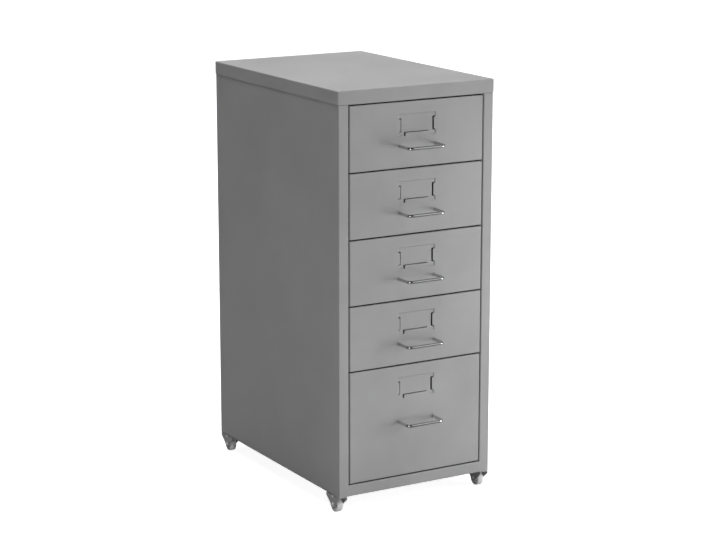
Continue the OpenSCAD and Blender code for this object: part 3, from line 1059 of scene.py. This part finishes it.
@dataclass
class Drawer:
    """One drawer: pressed front, folded box, back and wire handle."""

    number: int
    handle_height: float
    nodes: dict[str, Object]
    finishes: FinishRack

    def build(self) -> None:
        """Dresses the sheet parts and makes the handle."""
        body = f"drawer_{self.number}"
        for part in ("front", "box", "back"):
            self.finishes.dress(self.nodes[f"{body}_{part}"], Slot.DRAWER)
        WirePull(self.number, self.handle_height, self.finishes).build()


@dataclass
class Caster:
    """One swivel caster: fork, axle rivet, cheek rivets and moulded wheel."""

    corner: Corner
    nodes: dict[str, Object]
    finishes: FinishRack
    front_axle_y: float = -0.167
    rear_axle_y: float = 0.2
    axle_height: float = 0.0125
    wheel: float = 0.0125
    tread: float = 0.005
    tread_edge: float = 0.0016
    edge_steps: int = 6
    seam_line: float = 0.00006
    seam_foot: float = 0.00012
    seam_top: float = 0.00004
    rim: float = 0.0091
    rim_draft: float = 0.0002
    disc: float = 0.00225
    hub: float = 0.0042
    hub_half: float = 0.0058
    hub_draft: float = 0.0003
    cove: float = 0.0006
    nick: float = 0.0004
    bore: float = 0.00206
    axle: float = 0.002
    head: float = 0.0032
    head_height: float = 0.0008
    head_pit: tuple[Station, ...] = ((0.16, 0.94), (0.06, 0.72))
    fork_half: float = 0.0074
    cheek_rivet: float = 0.0019
    cheek_rivet_height: float = 0.00105
    cheek_rivet_level: float = 0.0256
    segments: int = 96
    ribs: int = 6
    rib_half: float = 0.00045
    rib_crown: float = 0.0003
    rib_sunk: float = 0.0002
    rib_foot: float = 0.0012
    rib_head: float = 0.001
    rib_heights: tuple[float, ...] = (0.0042, 0.0037, 0.0033, 0.0036)

    @property
    def centre(self) -> Vector:
        """Middle of the axle."""
        _, sign_x, sign_y = self.corner.value
        axle_y = self.front_axle_y if sign_y < 0 else self.rear_axle_y
        return Vector((sign_x * CASTER_X, axle_y, self.axle_height))

    @property
    def axis(self) -> Matrix:
        """Place at the middle of the axle, its local Z along the axle."""
        return stand(self.centre, RIGHTWARD)

    def build(self) -> None:
        """Dresses the fork and makes the rivets and the wheel."""
        self.finishes.dress(self.nodes[self.corner.named("caster_fork")], Slot.FORK)
        self.make_axle()
        self.make_cheek_rivets()
        self.make_wheel()

    def make_axle(self) -> None:
        """Makes the rivet with a head on both ends, each with a small pit."""
        head = dome(self.head, self.head_height, flat=0.22, steps=7)
        pit = [(self.head * out, self.head_height * up) for out, up in self.head_pit]
        upper = [(radius, self.fork_half + height) for radius, height in head + pit]
        lower = [(radius, -height) for radius, height in reversed(upper)]
        shank = [(self.axle, -self.fork_half), (self.axle, self.fork_half)]
        draft = Draft()
        draft.revolve(lower + shank + upper, self.axis, segments=40)
        rack, named = self.finishes, self.corner.named
        node = named("caster_axle")
        # the rivet's near-white finish is a painted highlight
        rack.seat(draft, named("axle_rivet"), named("caster"), Slot.ZINC, node, finish=rack.bright)

    def make_cheek_rivets(self) -> None:
        """Makes the small domes pressed into both cheeks, their near-white colour a painted highlight."""
        draft = Draft()
        profile = [(self.cheek_rivet, -self.head_height)]
        profile += dome(self.cheek_rivet, self.cheek_rivet_height, flat=0.12, steps=6)
        for side in SIDES:
            spot = (self.centre.x + side * self.fork_half, self.centre.y, self.cheek_rivet_level)
            draft.revolve(profile, stand(spot, (side, 0, 0)), segments=32)
        rack, named = self.finishes, self.corner.named
        rack.seat(draft, named("cheek_rivets"), named("caster"), Slot.ZINC, finish=rack.bright)

    def make_wheel(self) -> None:
        """Makes the moulded wheel with its parting line, ribs and hub."""
        outer = self.wheel - self.seam_line
        edge = []
        for angle in quarter(self.edge_steps):
            radius = outer - self.tread_edge * (1 - math.sin(angle))
            edge.append((radius, -self.tread + self.tread_edge * (1 - math.cos(angle))))
        half = [
            (self.bore + self.nick, -self.hub_half), (self.hub - self.nick, -self.hub_half),
            (self.hub, -self.hub_half + self.nick), (self.hub + self.hub_draft, -self.disc - self.cove),
            (self.hub + self.hub_draft + self.cove, -self.disc),
            (self.rim - self.rim_draft - self.cove, -self.disc),
            (self.rim - self.rim_draft, -self.disc - self.cove),
            (self.rim, -self.tread + self.nick), (self.rim + self.nick, -self.tread),
            *edge,
            (outer, -self.seam_foot), (self.wheel, -self.seam_top),
        ]
        mirrored = [(radius, -height) for radius, height in reversed(half)]
        bore = [(self.bore, self.hub_half - self.nick), (self.bore, -self.hub_half + self.nick)]
        draft = Draft()
        draft.revolve(half + mirrored + bore, self.axis, self.segments, ring_shaped=True)
        for angle in around(self.ribs):
            self.make_rib(draft, angle)
        rack, named = self.finishes, self.corner.named
        rack.seat(draft, named("wheel_moulding"), named("wheel"), Slot.NYLON, named("caster_wheel"))

    def make_rib(self, draft: Draft, angle: float) -> None:
        """Adds one stiffening rib between hub and rim, through the disc.

        Args:
            draft: Draft that takes the rib.
            angle: Where the rib stands around the axis.
        """
        along = Vector((math.cos(angle), math.sin(angle), 0))
        across = Vector((-math.sin(angle), math.cos(angle), 0))
        half, crown = self.rib_half, self.rib_crown
        radii = (
            self.hub - self.rib_sunk, self.hub + self.rib_foot,
            self.rim - self.rib_head, self.rim + self.rib_sunk,
        )
        loops = []
        for radius, height in zip(radii, self.rib_heights):
            low = crown - height
            lower = [(-half, low), (crown - half, -height), (half - crown, -height), (half, low)]
            outline = lower + [(-x, -z) for x, z in lower]
            points = [self.axis @ (along * radius + across * x + Vector((0, 0, z))) for x, z in outline]
            loops.append(draft.loop(points))
        draft.tube(loops)


@dataclass
class SwivelRivets:
    """The four rivets that the forks turn on."""

    finishes: FinishRack
    front_y: float = -0.164
    rear_y: float = 0.203
    shank: float = 0.003
    head: float = 0.005
    foot: float = 0.0254
    foot_height: float = 0.0009
    chamfer: float = 0.00025
    dent: float = 0.0002
    dent_radius: float = 0.001
    dent_edge: float = 0.0015
    base_top: float = 0.0301
    cap_height: float = 0.0015

    def build(self) -> None:
        """Makes the rivets as one piece of the cabinet."""
        foot = self.foot
        cap = dome(self.head, self.cap_height, flat=0.3, steps=6)
        stations = [
            (self.dent_radius, foot + self.dent), (self.dent_edge, foot), (self.head - self.chamfer, foot),
            (self.head, foot + self.chamfer), (self.head, foot + self.foot_height),
            (self.shank, foot + self.foot_height), (self.shank, self.base_top),
            *((radius, self.base_top + height) for radius, height in cap),
        ]
        draft = Draft()
        for side in SIDES:
            for y in (self.front_y, self.rear_y):
                place = Matrix.Translation((side * CASTER_X, y, 0))
                draft.revolve(stations, place, segments=40)
        self.finishes.seat(draft, "swivel_rivets", CABINET, Slot.ZINC, "swivel_pins")


# ---- Stage ----


@dataclass(frozen=True)
class SoftBox:
    """A rectangular studio lamp that only lights."""

    name: str
    stands_at: Spot
    aim: Spot
    size: tuple[float, float]
    power: float
    diffuse: bool = True
    glossy: bool = False

    def place(self) -> None:
        """Adds the lamp, turned towards its aim."""
        data = bpy.data.lights.new(self.name, "AREA")
        data.shape = "RECTANGLE"
        data.size, data.size_y = self.size
        data.energy = self.power
        lamp = show(bpy.data.objects.new(self.name, data))
        lamp.location = self.stands_at
        turn = (Vector(self.aim) - Vector(self.stands_at)).to_track_quat("-Z", "Y")
        lamp.rotation_euler = turn.to_euler()
        lamp.visible_camera = False
        lamp.visible_diffuse = self.diffuse
        lamp.visible_glossy = self.glossy


LAMPS = (
    SoftBox("Key", (2.4, -3.7, 7.6), (0.0, 0.0, 0.34), (7.5, 7.5), 180.0),
    SoftBox("Top", (0.0, 1.0, 4.5), (0.0, 0.0, 0.5), (4.0, 4.0), 225.0),
    SoftBox("Fill", (-1.3, -2.9, 4.2), (0.0, 0.0, 0.35), (1.5, 1.5), 40.0),
    SoftBox("Low Strip", (0.9, -0.8, 0.2), (0.05, -0.19, 0.16), (0.4, 0.6), 6.8, glossy=True),
    SoftBox("High Strip", (1.0, -0.75, 0.75), (0.03, -0.19, 0.2), (0.4, 0.8), 0.8, glossy=True),
    SoftBox("Low Front", (0.0, -0.8, 0.1), (0.0, -0.19, 0.08), (0.6, 0.2), 0.55),
    SoftBox("Side", (-0.9, -0.8, 0.75), (-0.14, -0.1, 0.5), (0.3, 0.8), 0.8, glossy=True),
    SoftBox("Glint", (-0.9, -1.0, 0.5), (-0.05, -0.2, 0.3), (0.3, 0.8), 3.2, diffuse=False, glossy=True),
    SoftBox("Card", (1.5, -2.5, 1.65), (0.0, -0.2, 0.35), (2.0, 3.0), 15.0, diffuse=False, glossy=True),
)


@dataclass
class Stage:
    """Floor, light, backdrop and camera."""

    lamps: tuple[SoftBox, ...] = LAMPS
    floor_half: float = 8.0
    floor_tone: float = 0.54
    floor_in_mirrors: float = 0.2
    floor_glow: float = 0.92
    near_shadow: float = 0.7
    far_from_shadow: float = 1.6
    ambient: float = 0.02
    camera_at: Spot = (-1.7173, -2.9559, 1.1212)
    azimuth: float = -30.221
    elevation: float = 12.857
    lens: float = 107.98
    sensor: float = 36.0
    shift: float = -0.00014
    view_depth: float = 50.0

    def build(self) -> None:
        """Sets up everything around the cabinet."""
        self.make_camera()
        self.make_floor()
        self.make_world()
        for lamp in self.lamps:
            lamp.place()
        bpy.context.scene.view_settings.view_transform = "Standard"

    def make_camera(self) -> None:
        """Adds the camera."""
        data = bpy.data.cameras.new("Camera")
        data.lens = self.lens
        data.sensor_width = self.sensor
        data.clip_end = self.view_depth
        data.shift_y = self.shift
        camera = show(bpy.data.objects.new("Camera", data))
        camera.location = self.camera_at
        camera.rotation_euler = (math.radians(90.0 - self.elevation), 0.0, math.radians(self.azimuth))
        bpy.context.scene.camera = camera

    def make_floor(self) -> None:
        """Adds the pale floor, which keeps the cabinet's soft shadow."""
        half = self.floor_half
        mesh = bpy.data.meshes.new("studio_floor")
        corner_points = [(-half, -half, 0), (half, -half, 0), (half, half, 0), (-half, half, 0)]
        mesh.from_pydata(corner_points, [], [(0, 1, 2, 3)])
        floor = show(bpy.data.objects.new("studio_floor", mesh))
        material = bpy.data.materials.new("Studio Floor")
        wires = Wiring(fresh_tree(material))
        ray = wires.add("LightPath").outputs
        tone = wires.remap(ray["Is Glossy Ray"], 0.0, 1.0, self.floor_tone, self.floor_in_mirrors)
        away = wires.add("VectorMath", wires.coordinates(), operation="LENGTH").outputs["Value"]
        level = wires.remap(away, self.near_shadow, self.far_from_shadow, to_low=self.floor_glow)
        glow = wires.add("Emission", WHITE, wires.scaled(ray["Is Camera Ray"], level))
        matte = wires.add("BsdfDiffuse", tone)
        both = wires.add("AddShader", matte.outputs[0], glow.outputs[0])
        wires.add("OutputMaterial", both.outputs[0])
        mesh.materials.append(material)
        floor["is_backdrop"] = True

    def make_world(self) -> None:
        """Sets a white background and a soft ambient light."""
        world = bpy.data.worlds.new("Studio")
        wires = Wiring(fresh_tree(world))
        seen = wires.add("LightPath").outputs["Is Camera Ray"]
        sky = wires.add("Background", WHITE, wires.remap(seen, 0.0, 1.0, to_low=self.ambient))
        wires.add("OutputWorld", sky.outputs[0])
        bpy.context.scene.world = world


def corners(box: Sequence[Vector]) -> list[list[float]]:
    """Lowest and highest corner of a box as plain numbers."""
    return [[float(x) for x in corner] for corner in box]


def clear_start_objects() -> None:
    """Removes the objects of Blender's start file."""
    for thing in list(bpy.data.objects):
        bpy.data.objects.remove(thing)


def main() -> None:
    """Builds the stage and the cabinet, and works out both boxes."""
    logging.basicConfig(level=logging.INFO, format="%(name)s %(message)s")
    clear_start_objects()
    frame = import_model()
    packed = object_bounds()
    nodes = frame["nodes"]
    finishes = FinishRack()
    Stage().build()
    Carcass(nodes, finishes).build()
    SwivelRivets(finishes).build()
    for number, height in enumerate(HANDLE_HEIGHTS, start=1):
        Drawer(number, height, nodes, finishes).build()
    for corner in Corner:
        Caster(corner, nodes, finishes).build()
    {"frame": corners(packed), "dressed": corners(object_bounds())}


if __name__ == "__main__":
    main()
